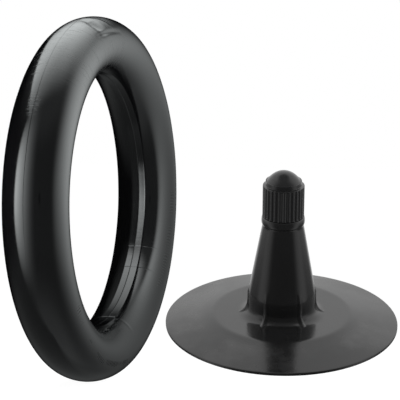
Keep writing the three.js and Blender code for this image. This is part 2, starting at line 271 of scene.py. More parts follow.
# The camera, about the ring's centre, in degrees, metres and millimetres
CAMERA_AZIMUTH = -68.9
CAMERA_ELEVATION = 1.5
CAMERA_DISTANCE = 3.135
CAMERA_YAW = 3.14
CAMERA_PITCH = 0.01
CAMERA_ROLL = 0.67
CAMERA_LENS = 171.0
CAMERA_SENSOR = 36

# The close-up of the valve, held in front of the camera
CLOSE_UP_DISTANCE = 0.452
CLOSE_UP_RIGHT = 0.01934
CLOSE_UP_DOWN = 0.02914
CLOSE_UP_LEAN = 22.2
CLOSE_UP_SHORTENING = 0.935  # along the stem, against the near camera's perspective
TENT_RADIUS = 0.12

STUDIO_TINT = (0.955, 1, 1, 1)
WHITE = (1, 1, 1, 1)
FLOOR_COLOR = (0.12, 0.12, 0.12, 1)
FLOOR_GLOW = 0.98
FLOOR_REACH = 40.0
FLOOR_GAP = 0.0002

# The studio's soft light: the azimuths that it fills, and its strength in each part
FRONT_AZIMUTHS = (-110.0, 68.0)
ABOVE_STRENGTH = 0.15
BELOW_STRENGTH = 0.4
BACK_STRENGTH = 0.14
FRONT_STRENGTH = 0.17

# The close-up's tent: its strength in each part, and everywhere
TENT_BEHIND_STRENGTH = 1.05
TENT_STRIP_STRENGTH = 0.6
TENT_LOW_STRENGTH = 0.7
TENT_ABOVE_STRENGTH = 0.14
TENT_GROUND_STRENGTH = 0.1

# The sheets of light: the middle of each in metres, its turn about Z in radians, and its strength;
# a spot's middle and size are in metres along and up its sheet
SIDE_LIGHT_MIDDLE = (-0.379, 0.099, 0)
SIDE_LIGHT_TURN = 1.757
SIDE_LIGHT_STRENGTH = 8.0
INNER_LIGHT_MIDDLE = (-0.1, 0, 0)
INNER_LIGHT_TURN = math.pi / 2
INNER_LIGHT_STRENGTH = 5.0
WIDE_LIGHT_MIDDLE = (-0.092, -0.557, 0)
WIDE_LIGHT_TURN = 0.694
WIDE_LIGHT_NEAR_SPOT = ((0.22, 0.3), (0.323, 0.44))
WIDE_LIGHT_NEAR_STRENGTH = 2.85
WIDE_LIGHT_FAR_SPOT = ((-0.156, 0.1), (0.432, 0.43))
WIDE_LIGHT_FAR_STRENGTH = 1.3
OVERHEAD_LIGHT_MIDDLE = (0, 0, 0.597)
OVERHEAD_LIGHT_TURN = 0.535
OVERHEAD_LIGHT_STRENGTH = 8.4


# ---------------------------------------------------------------- meshes

def smoothstep(low, high, value):
    share = np.clip((value - low) / (high - low), 0, 1)
    return share * share * (3 - 2 * share)


def plateau(low, full, falling, high, value):
    """0 below low, 1 from full to falling, and 0 again above high."""
    return smoothstep(low, full, value) * (1 - smoothstep(falling, high, value))


def bell(offset, width):
    return np.exp(-((offset / width) ** 2))


def make_mesh(name, points, faces, crease=40):
    mesh = bpy.data.meshes.new(name)
    mesh.from_pydata(points.reshape(-1, 3).tolist(), [], faces)
    mesh.validate()
    mesh.shade_smooth()
    mesh.set_sharp_from_angle(angle=math.radians(crease))
    return bpy.data.objects.new(name, mesh)


def show(obj):
    bpy.context.scene.collection.objects.link(obj)
    return obj


def closed_quads(index):
    """Faces between the point numbers of a grid that closes on itself both ways."""
    ahead, over = np.roll(index, -1, axis=0), np.roll(index, -1, axis=1)
    both = np.roll(ahead, -1, axis=1)
    return np.stack([index, over, both, ahead], axis=-1).reshape(-1, 4).tolist()


def refined(outline, step):
    """The closed outline with no side longer than step."""
    made = []
    for (r0, h0), (r1, h1) in zip(outline, outline[1:] + outline[:1]):
        parts = max(1, math.ceil(math.hypot(r1 - r0, h1 - h0) / step))
        made += [(r0 + (r1 - r0) * i / parts, h0 + (h1 - h0) * i / parts) for i in range(parts)]
    return made


def rounded(outline, radius):
    """The closed outline with its corners rounded; a third number at a corner is its own radius."""
    made = []
    for i, corner in enumerate(outline):
        here = Vector(corner[:2])
        before, after = Vector(outline[i - 1][:2]), Vector(outline[(i + 1) % len(outline)][:2])
        back, on = before - here, after - here
        size = corner[2] if len(corner) > 2 else radius
        size = min(size, 0.45 * back.length, 0.45 * on.length)
        if size <= 0 or here.x < 1e-6:
            made.append(tuple(here))
            continue
        start, end = here + back.normalized() * size, here + on.normalized() * size
        for k in range(CORNER_STEPS + 1):
            share = k / CORNER_STEPS
            bend = start * (1 - share) ** 2 + here * (2 * share * (1 - share)) + end * share ** 2
            made.append(tuple(bend))
    return made


def in_row_frame(across, height, along):
    """Places in metres for millimetres from the stem's axis and from the tube's rim side."""
    return np.stack([height * MM - FOOT, -across * MM, along * MM], axis=-1)


def revolve(name, outline, columns, shape=None, place=in_row_frame, crease=40):
    """Turns a closed (radius, height) outline in mm about the stem's axis."""
    profile = np.array(outline, float)
    turn = np.arange(columns) * 2 * math.pi / columns
    radius, around = np.meshgrid(profile[:, 0], turn, indexing="ij")
    height = np.repeat(profile[:, 1:2], columns, axis=1)
    if shape:
        radius, height = shape(radius, height, around)
    points = place(radius * np.cos(around), height, radius * np.sin(around))
    index = np.arange(len(profile) * columns).reshape(-1, columns)
    on_axis = profile[:, 0] < 1e-6
    index[on_axis] = index[on_axis][:, :1]
    corners = [list(dict.fromkeys(quad)) for quad in closed_quads(index)]
    return make_mesh(name, points, [face for face in corners if len(face) > 2], crease)


def thread(low, high, pitch, depth, pick):
    """A shape that cuts a V thread into the part of a wall that pick(radius) names."""
    def shape(radius, height, around):
        phase = (height / pitch - around / (2 * math.pi)) % 1
        cut = depth * np.abs(2 * phase - 1)
        ends = plateau(low, low + pitch, high - pitch, high, height)
        return np.where(pick(radius), radius - cut * ends, radius), height
    return shape


# ---------------------------------------------------------------- the tube

def spaced(weight, count, low, high):
    """count values from low to high, closer together where weight(value) is larger."""
    fine = np.linspace(low, high, 4000)
    share = np.concatenate([[0], np.cumsum(weight(0.5 * (fine[1:] + fine[:-1])))])
    return np.interp(np.linspace(0, share[-1], count + 1), share, fine)[:-1]


def angle_off(value, middle):
    """How far value is from middle, in degrees between -180 and 180."""
    return (value - middle + 180) % 360 - 180


def rim_band(across):
    """The flat band round the inner circumference, slightly roofed at its seam, in mm."""
    fine = np.linspace(0, BAND_REACH, 600)
    facing = BAND_SLOPE * smoothstep(0.3, 1.2, fine)
    facing += (fine - facing) * smoothstep(BAND_FLAT, BAND_SHOULDER, fine)
    slope = np.radians(fine - facing) * SECTION_WIDTH / MM
    depth = np.cumsum(slope) * np.radians(fine[1])
    return np.interp(np.abs(across), fine, depth - depth[-1])


def slow_waves(turn, section):
    """The slight unevenness of an inflated tube, in mm."""
    turn, section = np.radians(turn), np.radians(section)
    offset = 0.22 * np.sin(3 * turn + 0.6) * np.sin(section + 0.4)
    offset += 0.12 * np.sin(7 * turn + 1.9) * np.sin(2 * section)
    offset += 0.05 * np.sin(17 * turn + 0.3) * np.cos(3 * section + 1.0)
    return offset


def valley(turn, section, start, end, width, depth):
    """A straight dent between two (turn, section) places in degrees; width and depth in mm."""
    degree = np.array([RING, SECTION_WIDTH]) * math.pi / 180 / MM
    first, last = np.array(start) * degree, np.array(end) * degree
    here = np.stack([turn * degree[0], section * degree[1]], axis=-1)
    along = last - first
    share = np.clip((here - first) @ along / (along @ along), 0, 1)
    away = np.linalg.norm(here - first - share[..., None] * along, axis=-1)
    fade = np.sin(np.pi * np.clip(share, 0.06, 0.94)) ** 0.6
    return -depth * fade * bell(away, width)


def fold(turn, section):
    """The depth of the bowed fold, in mm; section is from 0 to 360."""
    bow = FOLD_TURN - FOLD_BOW * ((section - 190) / 60) ** 2
    depth = FOLD_DEPTH * bell((turn - bow) * INNER_TURN_DEGREE, FOLD_WIDTH)
    return depth * plateau(112, 135, 225, 250, section)


def wrinkle(turn, section, middle, depth):
    """The depth of one short wrinkle that runs round the ring below the fold, in mm."""
    furrow = depth * bell((section - middle) * INNER_SECTION_DEGREE, FOLD_WIDTH)
    return furrow * plateau(-108, -92, -80, -75, turn)


def skin_offset(turn, section):
    """How far the skin stands off the true torus, in mm."""
    offset = rim_band(angle_off(section, 180)) + slow_waves(turn, section)
    for dent in CROWN_DENTS:
        offset += valley(turn, section, *dent)
    offset -= fold(turn, section % 360)
    for middle, depth in WRINKLES:
        offset -= wrinkle(turn, section % 360, middle, depth)
    return offset


def torus_point(turn, section, offset):
    rho = RING + (SECTION_DEPTH + offset * MM) * np.cos(section)
    aside = (SECTION_WIDTH + offset * MM) * np.sin(section)
    return np.stack([rho * np.cos(turn), aside, rho * np.sin(turn)], axis=-1)


def turn_weight(turn):
    """Finer at the fold and at the crown's dents."""
    return 1 + 1.8 * bell(turn + 73, 9) + 2.2 * bell(turn - 104, 9)


def section_weight(section):
    """Finer on the flat band."""
    return 1 + 1.6 * bell(angle_off(section, 180), 20)


def tube_skin():
    turns = spaced(turn_weight, SKIN_TURNS, -180, 180)
    sections = spaced(section_weight, SKIN_SECTIONS, 0, 360)
    turn, section = np.meshgrid(turns, sections, indexing="ij")
    offset = skin_offset(turn, angle_off(section, 0))
    points = torus_point(np.radians(turn), np.radians(section), offset)
    index = np.arange(turn.size).reshape(turn.shape)
    return make_mesh("tube_skin", points, closed_quads(index), crease=80)


# ---------------------------------------------------------------- the valve's rubber

def moulding_shape(radius, height, around):
    """Raises the gussets, which sweep out to the seat, from the stem's outside."""
    step = 2 * math.pi / GUSSETS
    off = around % step - step / 2
    aside = np.abs(radius * np.sin(off))
    share = 1 - smoothstep(GUSSET_CREST, GUSSET_HALF_WIDTH, aside)
    edge = np.interp(height, *zip(*GUSSET_EDGE))
    outside = (radius > STEM_INSIDE_GUSSETS) & (radius < GUSSET_REACH)
    outside &= (height > SEAT_HEIGHT - 0.1) & (height < GUSSET_TOP)
    gain = np.clip(edge - radius, 0, None) * share
    return np.where(outside, radius + gain, radius), height


def root_outline():
    """The sweep from the seat up to the stem."""
    shares = [i / ROOT_STEPS for i in range(ROOT_STEPS + 1)]
    return [(STEM_RADIUS + ROOT_SPREAD * (1 - share) ** 2, SEAT_HEIGHT + ROOT_RISE * share ** 2)
            for share in shares]


def moulding_outline(underside):
    # the last two corners only end the loop for rounding
    disc = rounded([
        (AIR_BORE, underside),
        (DISC_RADIUS, underside, 0.05),
        (DISC_RADIUS, DISC_EDGE, 0.12),
        (SEAT_RADIUS, SEAT_HEIGHT, 0.5),
        (STEM_RADIUS + ROOT_SPREAD, SEAT_HEIGHT, 0),
        (AIR_BORE, SEAT_HEIGHT, 0),
    ], 0.1)[:-2]
    stem = rounded([
        (STEM_RADIUS, STEM_STRAIGHT_TOP - 1, 0),
        (STEM_RADIUS, STEM_STRAIGHT_TOP, 0.9),
        (NECK_RADIUS, NECK_HEIGHT, 0.3),
        (LIP_RADIUS - 0.04, NECK_HEIGHT + 0.65, 0.25),
        (LIP_RADIUS, LIP_CREST, 0.3),
        (LIP_TOP_RADIUS, STEM_TOP, 0.3),
        (STEM_BORE, STEM_TOP, 0.05),
        (STEM_BORE, INSERT_FOOT - 0.3, 0.05),
        (AIR_BORE, INSERT_FOOT - 0.3, 0.05),
    ], 0.1)
    return disc + root_outline() + stem


def on_tube(across, height, along):
    """The flat middle of the moulding stays flat; the thin disc round it wraps onto the tube."""
    outward = np.hypot(across, along)
    bend = smoothstep(0, 1, (outward - SEAT_RADIUS) / (DISC_RADIUS - SEAT_RADIUS))
    turn, swing = across * MM / SECTION_WIDTH, along * MM / FOOT
    aside = (SECTION_WIDTH / MM + height) * np.sin(turn)
    radius = RING / MM - (SECTION_DEPTH / MM + height) * np.cos(turn)
    bent = (aside, FOOT / MM - radius * np.cos(swing), radius * np.sin(swing))
    flat = (across, height, along)
    return in_row_frame(*[f + (b - f) * bend for f, b in zip(flat, bent)])


def valve_moulding(name, place, underside):
    outline = refined(moulding_outline(underside), 0.45)
    return revolve(name, outline, MOULDING_COLUMNS, moulding_shape, place, crease=50)


# ---------------------------------------------------------------- the insert and the core

def insert():
    outline = rounded([
        (AIR_BORE, INSERT_FOOT),
        (INSERT_RADIUS, INSERT_FOOT),
        (INSERT_RADIUS, NOSE_FOOT, 0),
        (NOSE_RADIUS, NOSE_FOOT),
        (NOSE_RADIUS, NOSE_MOUTH - 0.4),
        (NOSE_RADIUS - 0.4, NOSE_MOUTH),
        (NOSE_BORE, NOSE_MOUTH),
        (NOSE_BORE, GASKET_SEAT_TOP),
        (INSERT_BORE, GASKET_SEAT_FOOT),
        (INSERT_BORE, PIN_FOOT - 2),
        (AIR_BORE, PIN_FOOT - 2.8),
    ], 0.08)
    cut = thread(NOSE_FOOT, NOSE_MOUTH, CAP_THREAD_PITCH, CAP_THREAD_DEPTH,
                 lambda radius: radius > NOSE_RADIUS - 0.1)
    return revolve("insert_turned", refined(outline, 0.16), THREADED_COLUMNS, cut)


def plug():
    outline = rounded([
        (PLUG_NECK, PLUG_FOOT),
        (PLUG_RADIUS, PLUG_FOOT, 0.2),
        (PLUG_RADIUS, PLUG_TOP, 0.2),
        (PLUG_BORE, PLUG_TOP),
        (PLUG_BORE, PLUG_FOOT + 1.3),
        (PLUG_SOCKET, PLUG_FOOT + 1.3),
        (PLUG_SOCKET, PLUG_FOOT + 0.6),
        (PLUG_NECK, PLUG_FOOT + 0.6),
    ], 0.05)
    cut = thread(PLUG_FOOT, PLUG_TOP - 0.9, CORE_THREAD_PITCH, CORE_THREAD_DEPTH,
                 lambda radius: radius > PLUG_RADIUS - 0.1)

    def shape(radius, height, around):
        """Cuts the thread, and above it the two flats for the core tool."""
        radius, height = cut(radius, height, around)
        flat = PLUG_FLAT / np.maximum(np.abs(np.cos(around)), 0.3)
        high = smoothstep(PLUG_TOP - 1.05, PLUG_TOP - 0.95, height)
        shaved = radius + (np.minimum(radius, flat) - radius) * high
        return np.where(radius > PLUG_FLAT, shaved, radius), height

    return revolve("plug_turned", refined(outline, 0.12), THREADED_COLUMNS, shape)


def barrel():
    outline = rounded([
        (BARREL_BORE, BARREL_FOOT),
        (BARREL_RADIUS - 0.5, BARREL_FOOT),
        (BARREL_RADIUS, BARREL_FOOT + 0.5),
        (BARREL_RADIUS, BARREL_SHOULDER),
        (BARREL_WAIST, BARREL_SHOULDER),
        (BARREL_WAIST, PLUG_FOOT - 0.4),
        (BARREL_NECK, PLUG_FOOT - 0.4),
        (BARREL_NECK, PLUG_FOOT + 0.75),
        (BARREL_LIP, PLUG_FOOT + 0.75),
        (BARREL_LIP, PLUG_FOOT + 1.1),
        (BARREL_BORE, PLUG_FOOT + 1.1),
        (BARREL_BORE, SPRING_TOP + 1),
        (SPRING_CHAMBER, SPRING_TOP + 1),
        (SPRING_CHAMBER, SPRING_FOOT - 0.3),
        (BARREL_BORE, SPRING_FOOT - 0.3),
    ], 0.06)
    return revolve("barrel_turned", outline, SMALL_COLUMNS)


def gasket():
    foot = PLUG_FOOT - 2.5
    outline = rounded([
        (GASKET_BORE, foot),
        (GASKET_BORE + 0.25, foot),
        (INSERT_BORE, foot + GASKET_HEIGHT),
        (GASKET_BORE, foot + GASKET_HEIGHT),
    ], 0.1)
    return revolve("gasket_ring", outline, SMALL_COLUMNS)


def pin():
    outline = rounded([
        (0, PIN_FOOT),
        (PIN_RIVET, PIN_FOOT),
        (PIN_RIVET, PIN_FOOT + 0.3),
        (PIN_RADIUS, PIN_FOOT + 0.3),
        (PIN_RADIUS, SPRING_TOP + 0.15),
        (PIN_COLLAR, SPRING_TOP + 0.15),
        (PIN_COLLAR, SPRING_TOP + 0.5),
        (PIN_RADIUS, SPRING_TOP + 0.5),
        (PIN_RADIUS, PIN_TOP - 0.5),
        (PIN_HEAD, PIN_TOP - 0.4),
        (PIN_HEAD, PIN_TOP, 0.18),
        (0, PIN_TOP),
    ], 0.05)
    return revolve("pin_turned", outline, PIN_COLUMNS)


def spring():
    steps, sides = 40 * SPRING_COILS, 10
    along = np.linspace(0, 1, steps + 1)[:, None]
    turn = 2 * math.pi * SPRING_COILS * along
    middle = SPRING_FOOT + SPRING_WIRE + (SPRING_TOP - SPRING_FOOT - 2 * SPRING_WIRE) * along
    side = np.arange(sides)[None, :] * 2 * math.pi / sides
    radius = SPRING_RADIUS + SPRING_WIRE * np.cos(side)
    height = middle + SPRING_WIRE * np.sin(side)
    points = in_row_frame(radius * np.cos(turn), height, radius * np.sin(turn))
    index = np.arange(points.shape[0] * sides).reshape(-1, sides)
    over = np.roll(index, -1, axis=1)
    faces = np.stack([index[:-1], over[:-1], over[1:], index[1:]], axis=-1).reshape(-1, 4).tolist()
    ends = [index[0].tolist(), index[-1][::-1].tolist()]
    return make_mesh("spring_coil", points, faces + ends)


def seat_cup():
    foot = PIN_FOOT + 0.5
    outline = rounded([
        (CUP_BORE, foot),
        (CUP_INSIDE, foot, 0.2),
        (CUP_RADIUS, foot + 0.3),
        (CUP_RADIUS, foot + 1.5),
        (CUP_INSIDE, foot + 1.5),
        (CUP_INSIDE, foot + 0.35),
        (CUP_BORE, foot + 0.35),
    ], 0.04)
    return revolve("seat_cup_drawn", outline, SMALL_COLUMNS)


def seat_washer():
    low, high = PIN_FOOT + 1.1, BARREL_FOOT - 0.2
    outline = rounded([
        (WASHER_BORE, low),
        (WASHER_RADIUS, low),
        (WASHER_RADIUS, high),
        (WASHER_BORE, high),
    ], 0.12)
    return revolve("seat_washer_rubber", outline, SMALL_COLUMNS)


# ---------------------------------------------------------------- the cap

def dome_outline():
    """From the dome's foot to its middle."""
    shares = [1 - i / DOME_STEPS for i in range(DOME_STEPS + 1)]
    return [(DOME_RADIUS * share, DOME_FOOT + DOME_RISE * (1 - share ** DOME_POWER))
            for share in shares]


def cap_outline():
    # the dome takes the place of the last rounded corner
    wall = rounded([
        (CAP_BORE, CAP_FOOT, 0.15),
        (CAP_RIB_RADIUS, CAP_FOOT, 0.25),
        (CAP_RIB_RADIUS, CAP_RIB_TOP, 0.15),
        (BEAD_RADIUS, CAP_RIB_TOP + 0.1, 0.1),
        (BEAD_RADIUS, BEAD_TOP, 0.1),
        (DOME_RADIUS + 0.07, BEAD_TOP, 0.03),
        (DOME_RADIUS, DOME_FOOT, 0.05),
    ], 0.1)[:-(CORNER_STEPS + 1)]
    inside = rounded([
        (PIN_ROOM, PIN_ROOM_TOP, 0.2),
        (PIN_ROOM, PLUG_ROOM_TOP, 0.1),
        (PLUG_ROOM, PLUG_ROOM_TOP, 0.2),
        (PLUG_ROOM, CAP_BORE_TOP, 0.1),
        (CAP_BORE, CAP_BORE_TOP, 0.1),
        (CAP_BORE, CAP_FOOT + 1, 0),
    ], 0.1)
    return wall + dome_outline() + [(0, PIN_ROOM_TOP)] + inside


def cap_shape(radius, height, around):
    """Cuts the grip's valleys outside and raises the thread inside."""
    step = 2 * math.pi / CAP_RIBS
    off = np.abs((around + step / 2) % step - step / 2) / step
    valleys = smoothstep(CAP_RIB_CREST, CAP_RIB_VALLEY, off)
    length = plateau(CAP_FOOT, CAP_FOOT + 0.25, CAP_RIB_TOP - 0.35, CAP_RIB_TOP, height)
    outside = radius > CAP_RIB_RADIUS - 0.35
    ribbed = np.where(outside, radius - CAP_RIB_DEPTH * valleys * length, radius)
    phase = (height / CAP_THREAD_PITCH - around / (2 * math.pi)) % 1
    ends = plateau(CAP_FOOT + 0.5, CAP_FOOT + 1.3, CAP_BORE_THREAD_TOP - 0.7, CAP_BORE_THREAD_TOP, height)
    crest = CAP_BORE_THREAD_DEPTH * (1 - np.abs(2 * phase - 1)) * ends
    bore = (radius < CAP_BORE + 0.02) & (radius > CAP_BORE - 0.13)
    return np.where(bore, ribbed - crest, ribbed), height


def cap():
    columns = CAP_RIBS * COLUMNS_PER_RIB
    return revolve("cap_moulded", refined(cap_outline(), 0.3), columns, cap_shape)


def cap_seal():
    low = NOSE_MOUTH + 0.2
    outline = rounded([
        (SEAL_INSIDE, low),
        (SEAL_RADIUS, low),
        (SEAL_RADIUS, SEAL_TOP),
        (SEAL_INSIDE, SEAL_TOP),
    ], 0.15)
    return revolve("seal_ring", outline, SMALL_COLUMNS)


# ---------------------------------------------------------------- shader nodes

class Nodes:
    """Makes and links one node tree's nodes; any input may be a socket or a plain value."""

    def __init__(self, tree):
        self.tree = tree
        tree.nodes.clear()

    def add(self, kind, **settings):
        node = self.tree.nodes.new(kind)
        for key, value in settings.items():
            setattr(node, key, value)
        return node

    def feed(self, socket, value):
        if isinstance(value, bpy.types.NodeSocket):
            self.tree.links.new(value, socket)
        else:
            socket.default_value = value

    def math(self, operation, *values):
        node = self.add("ShaderNodeMath", operation=operation)
        for socket, value in zip(node.inputs, values):
            self.feed(socket, value)
        return node.outputs[0]

    def total(self, *values):
        result = values[0]
        for value in values[1:]:
            result = self.math("ADD", result, value)
        return result

    def product(self, *values):
        result = values[0]
        for value in values[1:]:
            result = self.math("MULTIPLY", result, value)
        return result

    def difference(self, value, less):
        return self.math("SUBTRACT", value, less)

    def quotient(self, value, by):
        return self.math("DIVIDE", value, by)

    def size(self, value):
        return self.math("ABSOLUTE", value)

    def step(self, value, low, high, bottom=0.0, top=1.0):
        """Smoothly from bottom at low to top at high."""
        node = self.add("ShaderNodeMapRange", interpolation_type="SMOOTHSTEP")
        for socket, given in zip(node.inputs, (value, low, high, bottom, top)):
            self.feed(socket, given)
        return node.outputs[0]

    def window(self, value, low, high, soft):
        """1 between low and high, falling to 0 over soft outside them."""
        rise = self.step(value, low - soft, low)
        fall = self.step(value, high, high + soft, 1.0, 0.0)
        return self.product(rise, fall)

    def line(self, value, middle, width):
        """1 on the line at middle, falling to 0 at width."""
        return self.step(self.size(self.difference(value, middle)), 0.0, width, 1.0, 0.0)

    def spot(self, along, height, middle, size):
        """A round soft spot, 1 in its middle."""
        x = self.quotient(self.difference(along, middle[0]), size[0])
        y = self.quotient(self.difference(height, middle[1]), size[1])
        square = self.total(self.product(x, x), self.product(y, y))
        return self.math("EXPONENT", self.product(square, -1.0))

    def split(self, vector):
        node = self.add("ShaderNodeSeparateXYZ")
        self.feed(node.inputs[0], vector)
        return node.outputs

    def join(self, x, y, z):
        node = self.add("ShaderNodeCombineXYZ")
        for socket, value in zip(node.inputs, (x, y, z)):
            self.feed(socket, value)
        return node.outputs[0]

    def scaled(self, vector, factor):
        node = self.add("ShaderNodeVectorMath", operation="SCALE")
        self.feed(node.inputs["Vector"], vector)
        self.feed(node.inputs["Scale"], factor)
        return node.outputs["Vector"]

    def place(self):
        return self.add("ShaderNodeTexCoord").outputs["Object"]

    def noise(self, vector, scale, detail=2.0, roughness=0.5):
        node = self.add("ShaderNodeTexNoise")
        self.feed(node.inputs["Vector"], vector)
        node.inputs["Scale"].default_value = scale
        node.inputs["Detail"].default_value = detail
        node.inputs["Roughness"].default_value = roughness
        return node.outputs["Fac"]

    def mix(self, share, first, second):
        node = self.add("ShaderNodeMix", data_type="RGBA")
        self.feed(node.inputs["Factor"], share)
        self.feed(node.inputs["A"], first)
        self.feed(node.inputs["B"], second)
        return node.outputs["Result"]

    def bump(self, height):
        """The normal for a height in metres."""
        node = self.add("ShaderNodeBump")
        node.inputs["Strength"].default_value = 1.0
        node.inputs["Distance"].default_value = 1.0
        self.feed(node.inputs["Height"], height)
        return node.outputs["Normal"]

    def emission(self, strength, color=WHITE):
        shader = self.add("ShaderNodeEmission")
        shader.inputs["Color"].default_value = color
        self.feed(shader.inputs["Strength"], strength)
        return shader

    def both(self, first, second):
        """The two shaders' light added up."""
        shader = self.add("ShaderNodeAddShader")
        self.tree.links.new(first.outputs[0], shader.inputs[0])
        self.tree.links.new(second.outputs[0], shader.inputs[1])
        return shader

    def finish(self, shader, kind="ShaderNodeOutputMaterial"):
        self.tree.links.new(shader.outputs[0], self.add(kind).inputs["Surface"])

    def surface(self, **inputs):
        shader = self.add("ShaderNodeBsdfPrincipled")
        for name, value in inputs.items():
            self.feed(shader.inputs[name.replace("_", " ")], value)
        self.finish(shader)


def new_material(name):
    material = bpy.data.materials.new(name)
    material.use_nodes = True
    return material, Nodes(material.node_tree)


# ---------------------------------------------------------------- the butyl

def skin_places(nodes):
    """Where a point is on the tube, as angles and as the direction from the ring's axis."""
    x, y, z = nodes.split(nodes.place())
    rho = nodes.math("SQRT", nodes.total(nodes.product(x, x), nodes.product(z, z)))
    outward = nodes.quotient(nodes.difference(rho, RING), SECTION_DEPTH)
    radians = nodes.math("ARCTAN2", nodes.quotient(y, SECTION_WIDTH), outward)
    section = nodes.math("DEGREES", radians)
    return SimpleNamespace(
        z=z,
        turn=nodes.math("DEGREES", nodes.math("ARCTAN2", z, x)),
        section=section,
        section_radians=radians,
        inner=nodes.difference(180.0, nodes.size(section)),
        east=nodes.quotient(x, rho),
        up=nodes.quotient(z, rho),
    )


def streaks(nodes, at, across_scale, along_scale):
    """Noise drawn out across the section."""
    where = nodes.join(nodes.product(at.east, across_scale), nodes.product(at.up, across_scale),
                       nodes.product(at.section_radians, along_scale))
    return nodes.noise(where, 1.0, 3.0)


def tread_line(nodes, at):
    """The mould's wandering line round the tread, above the ring's lower part."""
    wander = nodes.product(nodes.difference(nodes.noise(nodes.place(), 14.0), 0.5), 1.6)
    line = nodes.line(nodes.total(at.section, wander), TREAD_LINE_SECTION, 0.75)
    return nodes.product(line, nodes.step(at.z, -0.13, 0.0))


def cross_lines(nodes, at):
    """Thin lines across the inner side."""
    lines = [nodes.line(at.turn, turn, 0.25) for turn in CROSS_LINE_TURNS]
    return nodes.product(nodes.total(*lines), nodes.step(at.inner, 40.0, 70.0, 1.0, 0.0))


def rib_row(nodes, at, start, end, middle, drift):
    """A row of short ribs across a line that runs round the tube."""
    line = nodes.total(middle, nodes.product(at.turn, drift))
    off = nodes.size(nodes.difference(at.section, line))
    wander = nodes.product(nodes.noise(nodes.place(), 60.0), 5.0)
    wave = nodes.math("SINE", nodes.total(nodes.product(at.turn, 5.0), wander))
    strength = nodes.step(nodes.noise(nodes.place(), 45.0), 0.38, 0.6)
    return nodes.product(nodes.window(at.turn, start, end, 5.0), nodes.step(off, 3.0, 8.0, 1.0, 0.0),
                         wave, strength)


def scuffed_patch(nodes, at):
    """Short rubbed hairs on one patch of the tread."""
    hairs = nodes.step(streaks(nodes, at, 330.0, 4.0), 0.52, 0.68)
    return nodes.product(nodes.window(at.turn, *SCUFF_TURNS, 2.5),
                         nodes.window(at.section, *SCUFF_SECTIONS, 7.0), hairs)


def crumpled_patch(nodes, at):
    """Small uneven folds in the crown's dents."""
    return nodes.product(nodes.window(at.turn, *CRUMPLE_TURNS, 5.0),
                         nodes.window(at.section, *CRUMPLE_SECTIONS, 14.0),
                         nodes.noise(nodes.place(), 85.0, 1.0))


def butyl():
    """Glossy moulded butyl with fine lines across the section, seams and handling marks."""
    material, nodes = new_material("butyl")
    at = skin_places(nodes)
    fine = streaks(nodes, at, 140.0, 1.6)
    cloud = nodes.noise(nodes.place(), 9.0, 3.0)
    crown = nodes.window(at.turn, *CROWN_TURNS, 16.0)
    rows = nodes.total(*[rib_row(nodes, at, *row) for row in RIB_ROWS])
    scuffs = scuffed_patch(nodes, at)
    height = nodes.total(
        nodes.product(fine, nodes.total(FINE_LINE_HEIGHT, nodes.product(crown, CROWN_LINE_HEIGHT))),
        nodes.product(streaks(nodes, at, 60.0, 1.1), BROAD_LINE_HEIGHT),
        nodes.product(cloud, CLOUD_HEIGHT),
        nodes.product(tread_line(nodes, at), TREAD_LINE_HEIGHT),
        nodes.product(nodes.line(at.inner, 0.0, 1.0), SEAM_HEIGHT),
        nodes.product(cross_lines(nodes, at), CROSS_LINE_HEIGHT),
        nodes.product(rows, RIB_ROW_HEIGHT),
        nodes.product(scuffs, SCUFF_HEIGHT),
        nodes.product(crumpled_patch(nodes, at), CRUMPLE_HEIGHT),
    )
    grooves = nodes.step(fine, 0.52, 0.66)
    rough = nodes.total(
        BUTYL_ROUGHNESS,
        nodes.product(grooves, nodes.total(0.06, nodes.product(crown, 0.2))),
        nodes.product(cloud, 0.06),
        nodes.product(scuffs, 0.25),
        nodes.product(nodes.math("MAXIMUM", rows, 0.0), 0.5),
    )
    nodes.surface(
        Base_Color=nodes.mix(scuffs, BUTYL_COLOR, BUTYL_SCUFFED_COLOR),
        Roughness=rough,
        IOR=RUBBER_IOR,
        Normal=nodes.bump(height),
    )
    return material


# ---------------------------------------------------------------- the other materials

def stem_rubber():
    """Satin moulded rubber, smudged on the thin part of its disc but hardly elsewhere."""
    material, nodes = new_material("stem_rubber")
    grain = nodes.noise(nodes.place(), 1800.0, 2.0)
    cloud = nodes.noise(nodes.place(), 90.0, 3.0)
    height = nodes.split(nodes.place())[0]
    on_disc = nodes.step(height, (SEAT_HEIGHT - 1) * MM - FOOT, (SEAT_HEIGHT - 0.2) * MM - FOOT, 1.0, 0.1)
    patches = nodes.step(nodes.noise(nodes.place(), 45.0, 4.0, 0.6), 0.42, 0.7)
    smudges = nodes.product(patches, on_disc)
    relief = nodes.total(nodes.product(grain, 0.000005), nodes.product(cloud, 0.00004))
    nodes.surface(
        Base_Color=nodes.mix(smudges, STEM_COLOR, STEM_SMUDGED_COLOR),
        Roughness=nodes.total(STEM_ROUGHNESS, nodes.product(cloud, 0.05), nodes.product(smudges, 0.16)),
        IOR=RUBBER_IOR,
        Normal=nodes.bump(relief),
    )
    return material


def plain(name, color, roughness, grain_height, metallic=0.0):
    """One colour with a very fine grain."""
    material, nodes = new_material(name)
    grain = nodes.noise(nodes.place(), 1500.0, 2.0)
    nodes.surface(
        Base_Color=color,
        Metallic=metallic,
        Roughness=nodes.total(roughness, nodes.product(grain, 0.08)),
        Normal=nodes.bump(nodes.product(grain, grain_height)),
    )
    return material


